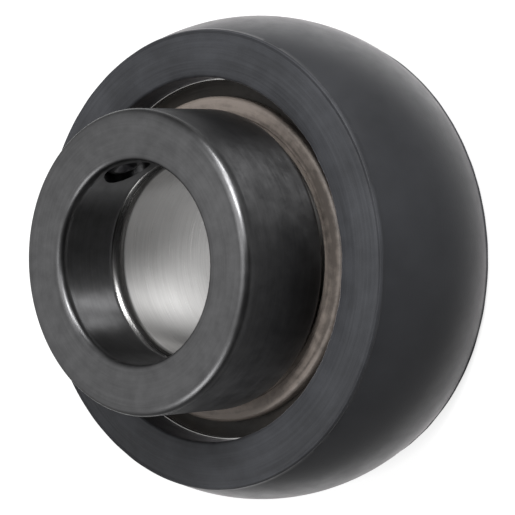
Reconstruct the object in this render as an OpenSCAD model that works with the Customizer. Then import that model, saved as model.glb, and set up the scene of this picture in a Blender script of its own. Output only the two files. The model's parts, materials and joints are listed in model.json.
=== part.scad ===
// Insert ball bearing in a crowned rubber cushion, with an eccentric locking collar.
// Millimetres. The Z axis is the shaft axis, and the collar is on the +Z side.
// The origin is on the shaft axis, in the plane through the centres of the balls.

/* [Shaft bore] */
// Diameter of the shaft that the inner ring fits
bore_d = 25; // [22:0.5:27]
// Rounding at each end of the bore, for leading in the shaft
bore_edge_r = 1.7; // [0.3:0.1:2]

/* [Balls] */
// Number of balls
ball_n = 9; // [7:1:9]
// Diameter of a ball
ball_d = 7.938; // [7.144, 7.938, 8.731]
// Radial gap between a ball and each raceway
ball_clearance = 0.02; // [0.01:0.01:0.05]
// Radius of the raceway groove as a share of the ball diameter
groove_share = 0.525; // [0.515:0.005:0.54]

/* [Inner ring] */
// How far the rear face of the inner ring stands out past the outer ring
rear_reach = 0; // [-0.2:0.1:3]
// Length of the land between the front seal and the cam
front_reach = 1.1; // [0.5:0.1:5]
// Depth of the inner raceway under the land
inner_race_depth = 1.89; // [1.5:0.01:2.2]
// Chamfer on the outer edges of the inner ring
inner_edge = 0.3; // [0.1:0.05:0.5]

/* [Eccentric cam] */
// Length of the cam that the collar locks on
cam_l = 4.8; // [3.5:0.1:6]
// Step from the land down to the cam, on the cam's high side
cam_step = 0.451; // [0.3:0.001:1]
// Distance between the axis of the cam and the shaft axis
cam_offset = 0.8; // [0.6:0.05:0.95]
// Direction of that offset, from +X towards +Y
cam_angle = 130; // [0:5:355]
// Radial gap between the cam and the counterbore of the collar
cam_clearance = 0.2; // [0.1:0.01:0.3]
// Axial gap between the collar and the inner ring, at the cam's two ends
cam_end_gap = 0.3; // [0.2:0.05:0.6]

/* [Outer ring] */
// Outer diameter of the outer ring
outer_d = 52; // [49:0.5:56]
// Width of the outer ring
outer_ring_w = 15; // [14:0.2:18]
// Depth of the outer raceway over the shoulder
outer_race_depth = 1.5; // [1.2:0.01:1.8]
// Rounding of the outer edges of the outer ring
outer_edge_r = 1; // [0.3:0.1:1.5]

/* [Seals] */
// Radial step from the shoulder up to the mouth that the seal passes through
seal_mouth_step = 1; // [0.4:0.02:1.2]
// Depth of the mouth, from the ring's side face to the groove
seal_mouth_l = 0.7; // [0.5:0.05:1]
// Radial depth of the groove that the seal snaps into
seal_snap = 0.45; // [0.3:0.05:0.8]
// Width of that groove
seal_groove_w = 0.9; // [0.7:0.05:1.1]
// Radial width of the valley between the cover plate and the mouth
seal_valley_w = 2.02; // [1:0.02:2.5]
// Thickness of the cover plate
seal_plate_t = 0.45; // [0.3:0.05:0.6]
// Height of the cover plate's flat over the ring's side face
seal_plate_proud = 0.6; // [0.3:0.05:0.9]
// Radial distance from the land to the bore of the cover plate
seal_plate_gap = 0.4; // [0.2:0.05:0.9]
// Inner radius of the cover plate's bends
seal_plate_bend = 0.15; // [0.1:0.05:0.4]
// Radial width of the band by the cover plate's bore that is pressed lower
seal_plate_band = 0.9; // [0.8:0.1:1.2]
// How much lower that band lies
seal_plate_drop = 0.15; // [0.05:0.05:0.2]
// How far the seal's rubber reaches in past its seat, towards the balls
seal_sag = 0.3; // [0.1:0.05:0.4]
// Thickness of the seal's rubber at the sealing lip
seal_lip_w = 0.5; // [0.3:0.05:0.8]
// Radial gap at the sealing lip
seal_lip_clearance = 0.05; // [0.02:0.01:0.1]

/* [Cage] */
// Radial gap between the cage and the land of the inner ring
cage_in_gap = 0.4; // [0.25:0.05:0.6]
// Radial gap between the cage and the shoulder of the outer ring
cage_out_gap = 0.8; // [0.3:0.05:1]
// Thickness of the cage sheet
cage_t = 0.6; // [0.4:0.05:0.7]
// Gap between a ball and its pocket
pocket_clearance = 0.1; // [0.05:0.01:0.2]
// Diameter of a rivet's shank
rivet_d = 1.5; // [1.2:0.1:1.8]
// Diameter of a rivet's head
rivet_head_d = 2.6; // [2.2:0.1:2.8]
// Height of a rivet's head
rivet_head_h = 0.6; // [0.4:0.05:0.8]
// Radial gap between a rivet's shank and its hole
rivet_clearance = 0.02; // [0.01:0.01:0.05]

/* [Rubber cushion] */
// Thickness of the rubber over the outer ring, at the top of the crown
cushion_wall = 5.15; // [3.5:0.05:8]
// Radius of the crown along the axis
crown_r = 26.2; // [22:0.1:40]
// Height of the side lips over the side faces of the outer ring
cushion_lip_l = 3.6; // [2:0.1:5]
// How far a side face falls off from the lip to the ridge that ends the crown
cushion_fall = 0.6; // [0.2:0.1:1.2]
// Width of the outer ring's side face that a side lip leaves bare
ring_show = 0.26; // [0.1:0.02:1.5]
// Radial width of the flat stretch of a side face
cushion_flat_w = 2.4; // [1.5:0.1:3]
// Rounding of the edge of the hole
cushion_lip_r = 0.4; // [0.2:0.05:0.6]
// Radius of the fine moulding bead along each ridge
flash_r = 0.25; // [0.1:0.05:0.4]

/* [Locking collar] */
// Thinnest wall of the collar, outside the cam
collar_wall = 2.15; // [1.2:0.05:3.5]
// Width of the collar
collar_w = 14; // [12:0.1:16]
// Radial gap between the collar's bore and the shaft
collar_clearance = 0.1; // [0.05:0.01:0.2]
// Rounding of the front outer edge
collar_edge_r = 1.2; // [0.4:0.1:1.8]
// Rounding of the mouth of the bore
collar_mouth_r = 0.9; // [0.3:0.1:1.4]
// Chamfer on the rear edges
collar_chamfer = 0.4; // [0.2:0.05:0.6]

/* [Set screw and drift hole] */
// Diameter of the set screw
screw_d = 6; // [4:0.5:6]
// Depth of the screw's outer end under the outside of the collar
screw_sink = 0.25; // [0.1:0.05:1]
// Width across the flats of the screw's socket
screw_key = 3; // [2:0.5:3]
// Depth of the socket
screw_key_l = 2.6; // [1.5:0.1:3]
// Distance from the screw's point to the wall of the collar's bore
screw_tip_gap = 0.3; // [0.1:0.1:0.8]
// Radial gap between the screw and its hole
screw_clearance = 0.05; // [0.02:0.01:0.1]
// Direction of the screw, from +X towards +Y
screw_angle = 112; // [0:1:359]
// Angle from the screw to the drift hole
drift_angle = 120; // [60:5:300]
// Diameter of the drift hole
drift_d = 5; // [3:0.5:6]
// Thickness of the wall left under the drift hole
drift_floor = 1.1; // [0.6:0.1:2]

/* [Hidden] */
// Facets of a full circle
$fn = 128;
// A cut reaches this far past the face that it starts from
over = 1;

// Radii of the ball set
ball_r = ball_d / 2;
pitch_r = (bore_d + outer_d) / 4;
groove_r = groove_share * ball_d;
ball_step = 360 / ball_n;

// Outer ring, with the mouth and the groove of its seals
outer_r = outer_d / 2;
outer_face = outer_ring_w / 2;
outer_race_r = pitch_r + ball_r + ball_clearance;
shoulder_r = outer_race_r - outer_race_depth;
mouth_r = shoulder_r + seal_mouth_step;
seal_groove_r = mouth_r + seal_snap;
seal_groove_top = outer_face - seal_mouth_l;
seal_seat = seal_groove_top - seal_groove_w;

// Inner ring
bore_r = bore_d / 2;
inner_race_r = pitch_r - ball_r - ball_clearance;
land_r = inner_race_r + inner_race_depth;
inner_rear = outer_face + rear_reach;
plate_top = outer_face + seal_plate_proud;
cam_z = plate_top + front_reach;
inner_front = cam_z + cam_l;
cam_r = land_r - cam_step - cam_offset;

// Seal: a channel-shaped plate over a rubber ring
plate_out_r = mouth_r - seal_valley_w;
plate_in_r = land_r + seal_plate_gap;
core_out_r = plate_out_r - seal_plate_t;
core_in_r = plate_in_r + seal_plate_t;
core_top = plate_top - seal_plate_t;
step_r = plate_in_r + seal_plate_band;
core_low = seal_seat - seal_sag;
lip_r = land_r + seal_lip_clearance;
lip_z = seal_seat + seal_groove_w / 2;

// Cage
pocket_r = ball_r + pocket_clearance;
cup_r = pocket_r + cage_t;
cage_in_r = land_r + cage_in_gap;
cage_out_r = shoulder_r - cage_out_gap;
rivet_r = rivet_d / 2;
rivet_head_r = rivet_head_d / 2;

// Rubber cushion
cushion_r = outer_r + cushion_wall;
side_z = outer_face + cushion_lip_l;
ridge_z = side_z - cushion_fall;
ridge_at_r = cushion_r - crown_r + sqrt(crown_r ^ 2 - ridge_z ^ 2);
cushion_mouth_r = mouth_r + ring_show;

// Locking collar
cam_seat_r = cam_r + cam_clearance;
collar_r = cam_seat_r + cam_offset + collar_wall;
collar_rear = cam_z + cam_end_gap;
collar_front = collar_rear + collar_w;
collar_seat = inner_front + cam_end_gap;
collar_bore_r = bore_r + collar_clearance;

// Set screw and drift hole, both midway along the thick wall of the collar
screw_z = (collar_seat + collar_front) / 2;
screw_r = screw_d / 2;
screw_tip_r = collar_bore_r + screw_tip_gap;
screw_l = collar_r - screw_sink - screw_tip_r;
screw_edge = screw_r / 6;
cup_point_r = screw_r / 2;
drift_r = drift_d / 2;
drift_point_r = collar_bore_r + drift_floor;

ball_names = [for (i = [1 : ball_n]) str("ball_", i)];
rivet_names = [for (i = [1 : ball_n]) str("cage_rivet_", i)];
ring_names = [
    "rubber_cushion", "outer_ring", "inner_ring", "locking_collar", "set_screw",
    "front_seal_plate", "front_seal_rubber", "rear_seal_plate", "rear_seal_rubber",
    "cage_front", "cage_rear"
];

// A box in the section plane, between two radii and two heights
module band(r_in, r_out, z_low, z_high) {
    translate([r_in, z_low])
        square([r_out - r_in, z_high - z_low]);
}

// What a rounding of radius c takes off the corner at (r, z). The material lies on the side
// that the signs dir_r and dir_z give.
module rounding_cut(r, z, c, dir_r, dir_z) {
    centre = [r + dir_r * c, z + dir_z * c];
    past = [r - dir_r * over, z - dir_z * over];
    difference() {
        band(
            min(centre[0], past[0]), max(centre[0], past[0]),
            min(centre[1], past[1]), max(centre[1], past[1])
        );
        translate(centre)
            circle(r = c);
    }
}

// What a chamfer takes off the corner at (r, z): w along the radius and l along the axis
module chamfer_cut(r, z, w, l, dir_r, dir_z) {
    polygon([
        [r + dir_r * w, z],
        [r + dir_r * w, z - dir_z * over],
        [r - dir_r * over, z - dir_z * over],
        [r - dir_r * over, z + dir_z * l],
        [r, z + dir_z * l]
    ]);
}

// Rubber ring, moulded round the outer ring with a raised lip over each of its side faces
module rubber_cushion() {
    color("#3c3d40")
        rotate_extrude()
            difference() {
                intersection() {
                    translate([cushion_r - crown_r, 0])
                        circle(r = crown_r);
                    cushion_sides();
                }
                band(0, outer_r, -outer_face, outer_face);
                for (s = [-1, 1])
                    rounding_cut(cushion_mouth_r, s * side_z, cushion_lip_r, 1, -s);
            }
    color("#3c3d40")
        for (s = [-1, 1])
            rotate_extrude()
                translate([ridge_at_r, s * ridge_z])
                    circle(r = flash_r);
}

// The section between the two side faces: flat by the hole, then falling off to the ridge
module cushion_sides() {
    flat_r = cushion_mouth_r + cushion_flat_w;
    polygon([
        [cushion_mouth_r, -side_z],
        [flat_r, -side_z],
        [ridge_at_r, -ridge_z],
        [cushion_r + over, -ridge_z],
        [cushion_r + over, ridge_z],
        [ridge_at_r, ridge_z],
        [flat_r, side_z],
        [cushion_mouth_r, side_z]
    ]);
}

module outer_ring() {
    color("#9c9a96")
        rotate_extrude()
            difference() {
                band(shoulder_r, outer_r, -outer_face, outer_face);
                translate([outer_race_r - groove_r, 0])
                    circle(r = groove_r);
                seal_recess();
                mirror([0, 1])
                    seal_recess();
                for (s = [-1, 1])
                    rounding_cut(outer_r, s * outer_face, outer_edge_r, -1, -s);
            }
}

// The mouth and the groove of the front seal, cut into the bore of the outer ring
module seal_recess() {
    band(0, mouth_r, seal_seat, outer_face + over);
    band(0, seal_groove_r, seal_seat, seal_groove_top);
}

// Inner ring: land and raceway, bored through, with the eccentric cam turned on its front end
module inner_ring() {
    color("#b4b4b2")
        difference() {
            union() {
                rotate_extrude()
                    difference() {
                        band(0, land_r, -inner_rear, cam_z);
                        translate([inner_race_r + groove_r, 0])
                            circle(r = groove_r);
                        chamfer_cut(land_r, -inner_rear, inner_edge, inner_edge, -1, 1);
                        chamfer_cut(land_r, cam_z, inner_edge, inner_edge, -1, -1);
                    }
                on_cam_axis()
                    cam_blank();
            }
            shaft_bore();
        }
}

// The cam's full round, from inside the land to the front face of the inner ring
module cam_blank() {
    rotate_extrude()
        difference() {
            band(0, cam_r, cam_z - inner_edge, inner_front);
            chamfer_cut(cam_r, inner_front, inner_edge, inner_edge, -1, -1);
        }
}

// The shaft's bore through the inner ring, with a rounding at each end
module shaft_bore() {
    rotate_extrude()
        union() {
            band(0, bore_r, -inner_rear - over, inner_front + over);
            rounding_cut(bore_r, -inner_rear, bore_edge_r, 1, 1);
            rounding_cut(bore_r, inner_front, bore_edge_r, 1, -1);
        }
}

// Places its children on the axis of the cam
module on_cam_axis() {
    translate([cam_offset * cos(cam_angle), cam_offset * sin(cam_angle), 0])
        children();
}

// Places its children with +Z pointing outwards through the collar's wall, and with their
// origin on the shaft axis
module on_collar_radius(angle) {
    translate([0, 0, screw_z])
        rotate([0, 90, angle])
            children();
}

module locking_collar() {
    color("#2c2c2e")
        difference() {
            rotate_extrude()
                difference() {
                    band(collar_bore_r, collar_r, collar_rear, collar_front);
                    rounding_cut(collar_r, collar_front, collar_edge_r, -1, -1);
                    rounding_cut(collar_bore_r, collar_front, collar_mouth_r, 1, -1);
                    chamfer_cut(collar_r, collar_rear, collar_chamfer, collar_chamfer, -1, 1);
                }
            on_cam_axis()
                cam_seat();
            on_collar_radius(screw_angle)
                screw_hole();
            on_collar_radius(screw_angle + drift_angle)
                drift_hole();
        }
}

// The tapped hole through the wall, with a lead-in chamfer at the outside
module screw_hole() {
    hole_r = screw_r + screw_clearance;
    lead_in = screw_r / 5;
    rotate_extrude()
        polygon([
            [0, 0],
            [hole_r, 0],
            [hole_r, collar_r - lead_in],
            [hole_r + lead_in + over, collar_r + over],
            [0, collar_r + over]
        ]);
}

// The counterbore that sits over the cam, with a lead-in chamfer
module cam_seat() {
    rotate_extrude()
        union() {
            band(0, cam_seat_r, collar_rear - over, collar_seat);
            polygon([
                [0, collar_rear - over],
                [cam_seat_r + collar_chamfer + over, collar_rear - over],
                [cam_seat_r, collar_rear + collar_chamfer],
                [0, collar_rear + collar_chamfer]
            ]);
        }
}

// The blind hole for a drift, ending in the cone of a drill
module drift_hole() {
    rotate_extrude()
        polygon([
            [0, drift_point_r],
            [drift_r, drift_point_r + drift_r / 2],
            [drift_r, collar_r + over],
            [0, collar_r + over]
        ]);
}

// Set screw with a socket at its outer end and a cup point towards the shaft
module set_screw() {
    color("#3a3a3c")
        on_collar_radius(screw_angle)
            translate([0, 0, screw_tip_r])
                difference() {
                    rotate_extrude()
                        polygon([
                            [0, cup_point_r / 2],
                            [cup_point_r, 0],
                            [screw_r - 2 * screw_edge, 0],
                            [screw_r, 2 * screw_edge],
                            [screw_r, screw_l - screw_edge],
                            [screw_r - screw_edge, screw_l],
                            [0, screw_l]
                        ]);
                    translate([0, 0, screw_l - screw_key_l])
                        cylinder(r = screw_key / 2 / cos(30), h = screw_key_l + over, $fn = 6);
                }
}

// Section of the front seal's cover plate: a flat with both edges bent down
module seal_plate() {
    difference() {
        plate_profile(plate_in_r, plate_out_r, seal_groove_top, plate_top, seal_plate_bend + seal_plate_t);
        seal_core(seal_groove_top - over);
    }
}

// The space under the cover plate, from a given height up to the plate's underside
module seal_core(low) {
    plate_profile(core_in_r, core_out_r, low, core_top, seal_plate_bend);
}

// A section with the outline of the plate's top: a slope down to the inner band, and rounded ends
module plate_profile(r_in, r_out, low, top, bend) {
    band_top = top - seal_plate_drop;
    difference() {
        band(r_in, r_out, low, top);
        polygon([
            [r_in - over, band_top],
            [step_r, band_top],
            [step_r + seal_plate_drop, top],
            [step_r + seal_plate_drop, top + over],
            [r_in - over, top + over]
        ]);
        rounding_cut(r_in, band_top, bend, 1, -1);
        rounding_cut(r_out, top, bend, -1, -1);
    }
}

// Section of the front seal's rubber: a rim in the ring's groove, a core under the plate, a lip
module seal_rubber() {
    band(shoulder_r, seal_groove_r, seal_seat, seal_groove_top);
    band(core_in_r, shoulder_r, core_low, seal_groove_top);
    seal_core(core_low);
    polygon([
        [core_in_r, core_low],
        [core_in_r, seal_groove_top],
        [plate_in_r, seal_groove_top],
        [lip_r, lip_z + seal_lip_w / 2],
        [lip_r, lip_z - seal_lip_w / 2]
    ]);
}

module front_seal_plate() {
    color("#a59b90")
        rotate_extrude()
            seal_plate();
}

module front_seal_rubber() {
    color("#2f2b27")
        rotate_extrude()
            seal_rubber();
}

module rear_seal_plate() {
    mirror([0, 0, 1])
        front_seal_plate();
}

module rear_seal_rubber() {
    mirror([0, 0, 1])
        front_seal_rubber();
}

// Places its children at the centre of ball number i, counted from +X
module at_ball(i) {
    rotate([0, 0, (i - 1) * ball_step])
        translate([pitch_r, 0, 0])
            children();
}

// Places its children midway between ball number i and the next one
module at_rivet(i) {
    rotate([0, 0, (i - 0.5) * ball_step])
        translate([pitch_r, 0, 0])
            children();
}

// Front half of the cage: a flat ribbon pressed into a round pocket over each ball
module cage_half() {
    difference() {
        intersection() {
            union() {
                cage_band(cage_t);
                for (i = [1 : ball_n])
                    at_ball(i)
                        sphere(r = cup_r);
            }
            cage_band(cup_r + over);
        }
        for (i = [1 : ball_n])
            at_ball(i)
                sphere(r = pocket_r);
        for (i = [1 : ball_n])
            at_rivet(i)
                translate([0, 0, -over])
                    cylinder(r = rivet_r + rivet_clearance, h = cage_t + 2 * over);
    }
}

// A flat ring as wide as the cage's ribbon, from the centre plane up
module cage_band(height) {
    rotate_extrude()
        band(cage_in_r, cage_out_r, 0, height);
}

module cage_front() {
    color("#a8a49c")
        cage_half();
}

module cage_rear() {
    color("#a8a49c")
        mirror([0, 0, 1])
            cage_half();
}

// Rivet number i, with a low head against each half of the cage
module cage_rivet(i) {
    color("#8e8b85")
        at_rivet(i)
            rotate_extrude()
                polygon([
                    [0, -cage_t - rivet_head_h],
                    [rivet_head_r * 0.6, -cage_t - rivet_head_h],
                    [rivet_head_r, -cage_t - rivet_head_h / 3],
                    [rivet_head_r, -cage_t],
                    [rivet_r, -cage_t],
                    [rivet_r, cage_t],
                    [rivet_head_r, cage_t],
                    [rivet_head_r, cage_t + rivet_head_h / 3],
                    [rivet_head_r * 0.6, cage_t + rivet_head_h],
                    [0, cage_t + rivet_head_h]
                ]);
}

module ball(i) {
    color("#c4c6c8")
        at_ball(i)
            sphere(r = ball_r);
}

rubber_cushion();
outer_ring();
inner_ring();
locking_collar();
set_screw();
front_seal_plate();
front_seal_rubber();
rear_seal_plate();
rear_seal_rubber();
cage_front();
cage_rear();
for (i = [1 : ball_n]) {
    ball(i);
    cage_rivet(i);
}
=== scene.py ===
"""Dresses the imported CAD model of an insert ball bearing: a rubber cushion round the outer ring,
pressed seals on both sides, and an eccentric collar that locks the inner ring to its shaft.

Lengths are in metres. The Z axis is the shaft axis, and the collar is on the +Z side. Sizes come
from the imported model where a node, mount or joint gives them, and else from the sidebar's values.
"""

import json
import math

import bpy
import numpy as np
from bpy.props import FloatProperty, FloatVectorProperty, IntProperty, PointerProperty
from mathutils import Matrix, Vector


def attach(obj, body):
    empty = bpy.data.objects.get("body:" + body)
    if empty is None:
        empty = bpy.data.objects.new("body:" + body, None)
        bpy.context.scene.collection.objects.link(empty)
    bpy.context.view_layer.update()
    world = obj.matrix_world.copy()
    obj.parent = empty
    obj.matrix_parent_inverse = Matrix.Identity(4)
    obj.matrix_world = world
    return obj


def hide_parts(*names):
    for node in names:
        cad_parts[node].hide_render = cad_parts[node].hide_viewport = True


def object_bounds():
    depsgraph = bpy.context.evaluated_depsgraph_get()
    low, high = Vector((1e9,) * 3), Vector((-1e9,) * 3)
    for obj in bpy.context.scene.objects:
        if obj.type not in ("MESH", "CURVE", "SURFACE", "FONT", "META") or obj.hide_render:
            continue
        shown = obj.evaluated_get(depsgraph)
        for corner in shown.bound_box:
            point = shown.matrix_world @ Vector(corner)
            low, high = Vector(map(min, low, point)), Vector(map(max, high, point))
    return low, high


bl_info = {
    "name": "Cushioned Insert Bearing",
    "version": (1, 0, 0),
    "blender": (4, 5, 0),
    "location": "View3D > Sidebar > Bearing",
    "description": "Builds the pieces, finishes and stage of an insert bearing in a rubber cushion",
    "category": "Add Mesh",
}

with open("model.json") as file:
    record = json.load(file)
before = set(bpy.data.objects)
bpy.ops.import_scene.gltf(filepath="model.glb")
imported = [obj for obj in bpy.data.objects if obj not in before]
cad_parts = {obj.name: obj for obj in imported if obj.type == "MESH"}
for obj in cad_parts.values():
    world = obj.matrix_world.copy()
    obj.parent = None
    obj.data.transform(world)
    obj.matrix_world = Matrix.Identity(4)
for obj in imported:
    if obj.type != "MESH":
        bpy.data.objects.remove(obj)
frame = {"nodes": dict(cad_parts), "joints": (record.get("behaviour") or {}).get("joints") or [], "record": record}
CAD_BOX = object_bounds()

MM = 0.001
TURN = 2 * math.pi
HAIR = 0.01 * MM  # gap between two pieces that touch, so that their faces don't lie in one place
EDGE_REACH = 0.5 * MM  # width of the band beside a rounding that is rubbed with it
ARC_PART = math.radians(12)  # largest part that a rounding is cut into
SHARP_TURN = math.radians(30)  # least turn between two faces that shows as a sharp edge
BROKEN_EDGE = 0.1 * MM  # rounding of an edge that a tool has broken
SOFT_EDGE = 0.2 * MM  # rounding of an edge that was moulded or tumbled
HOLE_MARGIN = 0.7 * MM  # width of wall that is meshed anew round a hole
HOLE_RINGS = 4  # rings of faces from that stretch's edge to the hole
SCREW_HOLE_SHARE = 61 / 60  # radius of the screw's hole as a share of the screw's
SCREW_FACETS = 144  # divisions of a full turn on the set screw
THREAD_FLAT = 0.12  # flat of a thread's crest, and of its root, as a share of the pitch
THREAD_DEPTH = 0.61  # depth of a thread as a share of the pitch
ALONG_SHAFT = 0.25  # turn of a finish whose rings draw highlights out along the shaft


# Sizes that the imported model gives


def span(node):
    """Least and greatest distance from the shaft axis, and lowest and highest z, of a CAD node."""
    mesh = frame["nodes"][node].data
    corners = np.empty(3 * len(mesh.vertices), np.float32)
    mesh.vertices.foreach_get("co", corners)
    x, y, z = corners.astype(float).reshape(-1, 3).T
    radius = np.hypot(x, y)
    return float(radius.min()), float(radius.max()), float(z.min()), float(z.max())


def listed(items, name):
    """The entry of that name in a list of mounts or joints."""
    return next(item for item in items if item["name"] == name)


def bearing_of(axis):
    """Direction of an axis that lies square to the shaft, as an angle from +X towards +Y."""
    return math.atan2(axis[1], axis[0])


def linear(colour):
    """A hex sRGB colour as linear red, green and blue: the sRGB curve undone in each."""
    srgb = np.array([int(colour[i : i + 2], 16) for i in (1, 3, 5)]) / 255
    return tuple(np.where(srgb <= 0.04045, srgb / 12.92, ((srgb + 0.055) / 1.055) ** 2.4))


SHOULDER_R, RING_R, _, RING_FACE = span("outer_ring")
MOUTH_R, CROWN_TOP_R, _, LIP_FACE = span("rubber_cushion")
BORE_R, LAND_R, REAR_FACE, INNER_FRONT = span("inner_ring")
COLLAR_BORE_R, COLLAR_R, COLLAR_REAR, COLLAR_FRONT = span("locking_collar")
PLATE_IN_R, PLATE_OUT_R, PLATE_LOW, PLATE_TOP = span("front_seal_plate")
SEAL_LIP_R, SEAL_RIM_R, SEAL_LOW, SEAL_TOP = span("front_seal_rubber")
BALL_IN_R, BALL_OUT_R, _, _ = span("ball_1")

DRIFT = listed(frame["record"]["mounts"], "drift_hole")
DRIFT_R = DRIFT["dims"]["r_mm"] * MM
# A hole's axis can point in or out, so its place says on which side of the shaft it is
DRIFT_DIRECTION = bearing_of(DRIFT["axis"]) + math.pi * (DRIFT["pos_m"][0] * DRIFT["axis"][0] < 0)
SCREW_DIRECTION = bearing_of(listed(frame["joints"], "screw_travel")["axis"])
HOLE_ORIGIN = np.array([0, 0, listed(frame["joints"], "collar_lock")["pos_m"][2]])


# Values that a user can change


def millimetres(name, description, value):
    """A property for a length, given in millimetres and kept in metres."""
    return FloatProperty(
        name=name, description=description, default=value * MM, unit="LENGTH", precision=5
    )


def degrees(name, description, value):
    """A property for an angle, given in degrees and kept in radians."""
    return FloatProperty(
        name=name, description=description, default=math.radians(value), subtype="ANGLE"
    )


def watts(name, description, value):
    """A property for a lamp's power."""
    return FloatProperty(name=name, description=description, default=value, unit="POWER")


def hex_colour(name, description, value):
    """A property for a colour, given as hex sRGB and kept as linear red, green and blue."""
    return FloatVectorProperty(
        name=name, description=description, default=linear(value), subtype="COLOR", min=0, max=1
    )


class BearingSizes(bpy.types.PropertyGroup):
    """Sizes that the pieces share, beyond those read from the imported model"""

    facets: IntProperty(
        name="Facets", description="Divisions of a full turn on the large rings", default=440, min=96
    )
    step: millimetres("Step", "Longest division along a section's straight sides", 0.45)
    crown: millimetres("Crown", "Radius of the cushion's crown along the axis", 26.2)
    ridge_fall: millimetres(
        "Ridge fall", "Fall of the cushion's side face from the lip to the ridge", 0.6
    )
    lip_flat: millimetres(
        "Lip flat", "Width of the flat stretch round the hole in the cushion's side face", 2.4
    )
    lip_rounding: millimetres(
        "Lip rounding", "Rounding of the edge of the hole in the cushion's side face", 0.4
    )
    flash: millimetres("Flash", "Radius of the moulding bead along each ridge of the cushion", 0.25)
    ring_rounding: millimetres("Ring rounding", "Rounding of the outer edges of the outer ring", 1.0)
    seal_groove: millimetres("Seal groove", "Width of the groove that a seal snaps into", 0.9)
    seal_step: millimetres("Seal step", "Radial depth of the groove that a seal snaps into", 0.45)
    groove_share: FloatProperty(
        name="Groove share",
        description="Radius of a raceway groove as a share of the ball's diameter",
        default=0.525,
        subtype="FACTOR",
    )
    ball_gap: millimetres("Ball gap", "Radial gap between a ball and a raceway", 0.02)
    plate: millimetres("Plate", "Thickness of a seal's cover plate", 0.45)
    plate_bend: millimetres("Plate bend", "Inner radius of the bends of a seal's cover plate", 0.15)
    plate_band: millimetres(
        "Plate band", "Width of the lower band by the bore of a seal's cover plate", 0.9
    )
    plate_drop: millimetres("Plate drop", "How much lower that band lies", 0.15)
    bore_rounding: millimetres("Bore rounding", "Rounding at each end of the inner ring's bore", 1.7)
    cam_length: millimetres(
        "Cam length", "Length of the eccentric cam at the front of the inner ring", 4.8
    )
    cam_radius: millimetres("Cam radius", "Radius of the cam about its own axis", 15.9)
    cam_offset: millimetres("Cam offset", "Distance of the cam's axis from the shaft axis", 0.8)
    cam_direction: degrees("Cam direction", "Direction of the cam's offset, from +X towards +Y", 130)
    cam_gap: millimetres("Cam gap", "Radial gap between the cam and the collar's counterbore", 0.2)
    cam_end_gap: millimetres(
        "Cam end gap", "Gap between the inner ring's front face and the collar's counterbore", 0.3
    )
    collar_rounding: millimetres("Collar rounding", "Rounding of the collar's front outer edge", 1.2)
    mouth_rounding: millimetres("Mouth rounding", "Rounding of the mouth of the collar's bore", 0.9)
    collar_chamfer: millimetres("Collar chamfer", "Chamfer on the collar's rear edges", 0.4)
    screw_radius: millimetres("Screw radius", "Radius of the set screw over its thread", 3.0)
    screw_tip: millimetres("Screw tip", "Distance of the set screw's point from the shaft axis", 12.9)
    screw_length: millimetres("Screw length", "Length of the set screw", 5.9)
    screw_key: millimetres("Screw key", "Width across the flats of the set screw's socket", 3.0)
    screw_key_depth: millimetres("Screw key depth", "Depth of the set screw's socket", 2.6)
    thread_pitch: millimetres(
        "Thread pitch", "Distance from one turn of the set screw's thread to the next", 1.0
    )
    drift_floor: millimetres(
        "Drift floor", "Thickness of the wall left under the point of the drift hole", 1.1
    )


class BearingColours(bpy.types.PropertyGroup):
    """Colour of each finish"""

    rubber: hex_colour("Rubber", "Colour of the cushion's moulded rubber", "#303134")
    seal: hex_colour("Seal rubber", "Colour of the seals' rubber", "#27231f")
    collar: hex_colour("Collar", "Colour of the collar's black oxide", "#626263")
    screw: hex_colour("Screw", "Colour of the set screw's black oxide", "#4b4b4e")
    ring: hex_colour("Rings", "Colour of the rings' ground steel", "#c6c5c4")
    turned: hex_colour("Cam", "Colour of the cam's turned steel", "#8c8883")
    plate: hex_colour("Seal plates", "Colour of the seals' phosphated cover plates", "#6c645e")
    cage: hex_colour("Cage", "Colour of the pressed cage", "#989590")
    rivet: hex_colour("Rivets", "Colour of the cage's rivets", "#8b8882")
    ball: hex_colour("Balls", "Colour of the lapped balls", "#d0d2d4")


class BearingStage(bpy.types.PropertyGroup):
    """Camera, lamps and background"""

    distance: millimetres(
        "Camera distance", "Distance from the middle of the collar's front face to the camera", 350
    )
    tilt: degrees(
        "Camera tilt", "Angle between the shaft axis and the line to the camera, towards +X", 44.3346
    )
    roll: degrees("Camera roll", "Turn of the picture about the line of sight", -92.4638)
    drop: FloatProperty(
        name="Aim drop",
        description="Tangent of the angle by which the camera aims below the collar's face",
        default=0.044233,
    )
    lens: FloatProperty(
        name="Lens",
        description="Focal length in millimetres on a sensor 36 mm wide",
        default=198.643,
        subtype="DISTANCE_CAMERA",
    )
    top_power: watts("Top power", "Power of the large soft lamp overhead", 0.5)
    key_power: watts("Key power", "Power of the soft lamp beside the camera", 1.8)
    low_power: watts("Low power", "Power of the lamp level with the collar, on the key's side", 0.85)
    fill_power: watts("Fill power", "Power of the lamp opposite the key", 0.7)
    sky: FloatProperty(
        name="Sky", description="Strength of the background's light on the object", default=0.15
    )


# Sections: closed outlines in the plane of radius and z, seen with the radius to the right


def padded(corners):
    """The corners with a 0 for each value that they leave out at their end."""
    return [(*corner, *(0,) * (5 - len(corner))) for corner in corners]


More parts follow.
